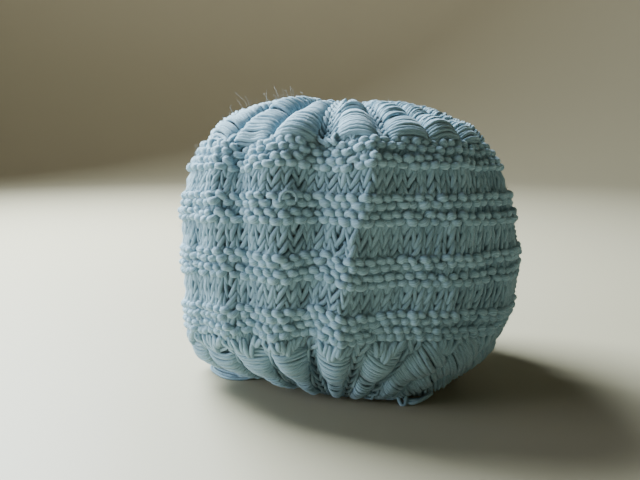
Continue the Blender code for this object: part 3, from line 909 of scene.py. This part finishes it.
def fuzzFibres():
    yarn = []
    count = fuzz["short"] + fuzz["long"]
    isLong = np.arange(count) >= fuzz["short"]
    column = rng.uniform(0, cover["repeats"], count)
    row = rng.uniform(1, 55, count)
    column[isLong] = rng.normal(*fuzz["longColumn"], fuzz["long"])
    row[isLong] = rng.uniform(*fuzz["longRows"], fuzz["long"])
    base = onCloth(column, row, ridgeLift(row) - 0.0004)
    outs = outwardAt(column, row)
    side = unit(rng.normal(size=(count, 3)))
    curl = unit(rng.normal(size=(count, 3)))
    long = rng.uniform(*fuzz["longLength"], count)
    length = np.where(isLong, long, rng.uniform(*fuzz["shortLength"], count))
    part = np.linspace(0, 1, fuzz["points"])[None, :, None]
    stand = np.where(isLong, fuzz["longStand"], fuzz["shortStand"])[:, None, None]
    line = base[:, None] + length[:, None, None] * (
        stand * part * outs[:, None] + 0.8 * part * side[:, None] * (1 - stand)
        + 0.35 * np.sin(part * 3.0) * curl[:, None] + 0.10 * np.sin(part * 9.0) * side[:, None])
    radius = fuzz["radius"] * (1 - 0.6 * part[..., 0])
    sweep(yarn, line, radius, outs[:, None], 0, fuzz["sides"])
    return yarn


pieces.append(yarnPiece("fuzz", fuzzFibres(), yarnFinish))
print("loose yarn and fuzz added")

# Backing: the rest of the cloth behind the surface stitches, seen in the gaps and from inside, coloured
# darker as painted shade
backing = {
    "steps": 8,  # faces across a column
    "rows": (0.6, 55.6),  # first and last row
    "slitRoom": 1e-4,  # columns that put an edge on its own side of a slit
    "depth": 0.0035, "thickness": 0.0024,  # how far in it lies, and its wall
    "under": 0.0021, "deep": -0.0075,  # how far below a leaf's strands, and at its sides
    "table": 0.0004,  # how far above the table it stays
    "runAcross": 2.5, "runUp": 0.5,  # how the pattern of the yarn lies on it
}


def leafFloor(column, row):  # the cloth that lies just under the strands of a leaf
    away = np.abs((column - leafTurn(column, row) + 0.5) % 1 - 0.5)
    total = np.full(row.shape, -1.0)
    for zone, (bodyRow, tipRow) in leaf["ends"].items():
        far = (row - bodyRow) / (tipRow - bodyRow)
        across = clamp(away / leafHalf(zone, far))
        top = strandTop(zone, row) - leaf["strand"] - backing["under"]
        top = top - leaf["tuck"][zone] * clamp(1 - far * 10)
        lift = backing["deep"] + (top - backing["deep"]) * (1 - across ** leaf["round"]) ** leaf["full"]
        total = np.where((far > 0.01) & (far < 0.99), lift, total)
    return total


def backingSheet(material):  # one half runs from the spout to the handle, and the other one back
    first, last = backing["rows"]
    rows = np.concatenate([[first], np.arange(first + 0.9, last, 1.0), [last]])
    steps = int(backing["steps"] * cover["repeats"] / 2)
    mesh = bmesh.new()
    run = mesh.loops.layers.uv.new("yarnRun")
    for start, stop in ((5, 15), (15, 25)):
        columns = np.linspace(start, stop, steps + 1)
        columns[[0, -1]] += backing["slitRoom"], -backing["slitRoom"]
        across, up = np.meshgrid(columns, rows, indexing="ij")
        lift = np.maximum(puffRise(across, up) - backing["depth"], leafFloor(across, up))
        grid = onFolds(across, up, lift)
        grid[..., 2] = np.maximum(grid[..., 2], backing["thickness"] + backing["table"])
        made = [[mesh.verts.new(point) for point in line] for line in grid]
        for i in range(steps):
            for j in range(len(rows) - 1):
                corners = ((i, j), (i + 1, j), (i + 1, j + 1), (i, j + 1))
                face = mesh.faces.new([made[a][b] for a, b in corners])
                for loop, (a, b) in zip(face.loops, corners):
                    loop[run].uv = (columns[a] * backing["runAcross"], rows[b] * backing["runUp"])
    bmesh.ops.remove_doubles(mesh, verts=mesh.verts, dist=0.0001)
    cloth = meshObject("cover_cloth", mesh, material)
    bpy.ops.object.select_all(action="DESELECT")
    cloth.select_set(True)
    bpy.context.view_layer.objects.active = cloth
    wall = cloth.modifiers.new("wall", "SOLIDIFY")
    wall.thickness = backing["thickness"]
    wall.offset = -1
    bpy.ops.object.modifier_apply(modifier=wall.name)
    return settle(cloth)


# the same yarn in darker colours: painted shade on the cloth that lies deep behind the stitches
shadedClothLook = {**yarnLook, "pale": (0.18, 0.29, 0.36), "deep": (0.07, 0.13, 0.17), "backStitch": 0.0009}
cloth = backingSheet(yarnMaterial("cotton_yarn_behind_painted_shade", shadedClothLook))
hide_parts("knitted_cover")
print("cloth done")

# Camera, floor and light
view = {"place": (-0.0152, -0.36, 0.128), "down": 9.3, "lens": 39.375, "sensor": 36, "near": 0.01}
camera = newObject("camera", bpy.data.cameras.new("camera"))
camera.location = view["place"]
camera.rotation_euler = (math.radians(90 - view["down"]), 0, 0)
camera.data.sensor_width = view["sensor"]
camera.data.lens = view["lens"]
camera.data.clip_start = view["near"]
bpy.context.scene.camera = camera

floorSweep = {"flat": 1.3, "bend": 0.8, "top": 1.15, "steps": 64, "bendSteps": 12,
              "sockets": {"Base Color": (0.41, 0.375, 0.265, 1), "Roughness": 0.5}}


def studioSweep():  # a round pale floor that curves up into a wall all the way round
    flat, bend, steps = floorSweep["flat"], floorSweep["bend"], floorSweep["steps"]
    mesh = bmesh.new()
    line = []
    for a in np.linspace(0, 0.5 * np.pi, floorSweep["bendSteps"] + 1):
        line.append(mesh.verts.new((flat + bend * math.sin(a), 0, bend * (1 - math.cos(a)))))
    line.append(mesh.verts.new((flat + bend, 0, floorSweep["top"])))
    edges = [mesh.edges.new((a, b)) for a, b in zip(line, line[1:])]
    bmesh.ops.spin(mesh, geom=line + edges, cent=(0, 0, 0), axis=(0, 0, 1), angle=2 * math.pi, steps=steps,
                   use_merge=True)
    rim = [edge for edge in mesh.edges if edge.is_boundary and max(v.co.z for v in edge.verts) < 0.001]
    bmesh.ops.holes_fill(mesh, edges=rim, sides=steps + 1)
    return meshObject("floor", mesh, newMaterial("pale_floor", floorSweep["sockets"])[0])


studioSweep()

lights = {
    "window": {"place": (-0.52, 0.44, 0.72), "aim": (0, 0, 0.06), "size": 0.6, "power": 59.0,
               "colour": (0.84, 0.94, 1.0)},
    "side": {"place": (-0.95, -0.24, 0.26), "aim": (0, 0, 0.06), "size": 0.5, "power": 9.0,
             "colour": (0.82, 0.88, 1.0)},
    "wall": {"place": (0.0, 0.9, 1.5), "aim": (-0.3, 2.1, 0.7), "size": 1.2, "power": 8.0,
             "colour": (1.0, 0.95, 0.82)},
}
for name, facts in lights.items():
    lamp = bpy.data.lights.new(name, "AREA")
    lamp.shape = "SQUARE"
    lamp.size = facts["size"]
    lamp.energy = facts["power"]
    lamp.color = facts["colour"]
    holder = newObject(name, lamp)
    holder.location = facts["place"]
    aim = Vector(facts["aim"]) - holder.location
    holder.rotation_euler = aim.to_track_quat("-Z", "Y").to_euler()
world = bpy.data.worlds.new("studio")
world.use_nodes = True
world.node_tree.nodes["Background"].inputs["Color"].default_value = (0.90, 0.87, 0.70, 1)
world.node_tree.nodes["Background"].inputs["Strength"].default_value = 0.006
bpy.context.scene.world = world
print("camera, floor and light set")
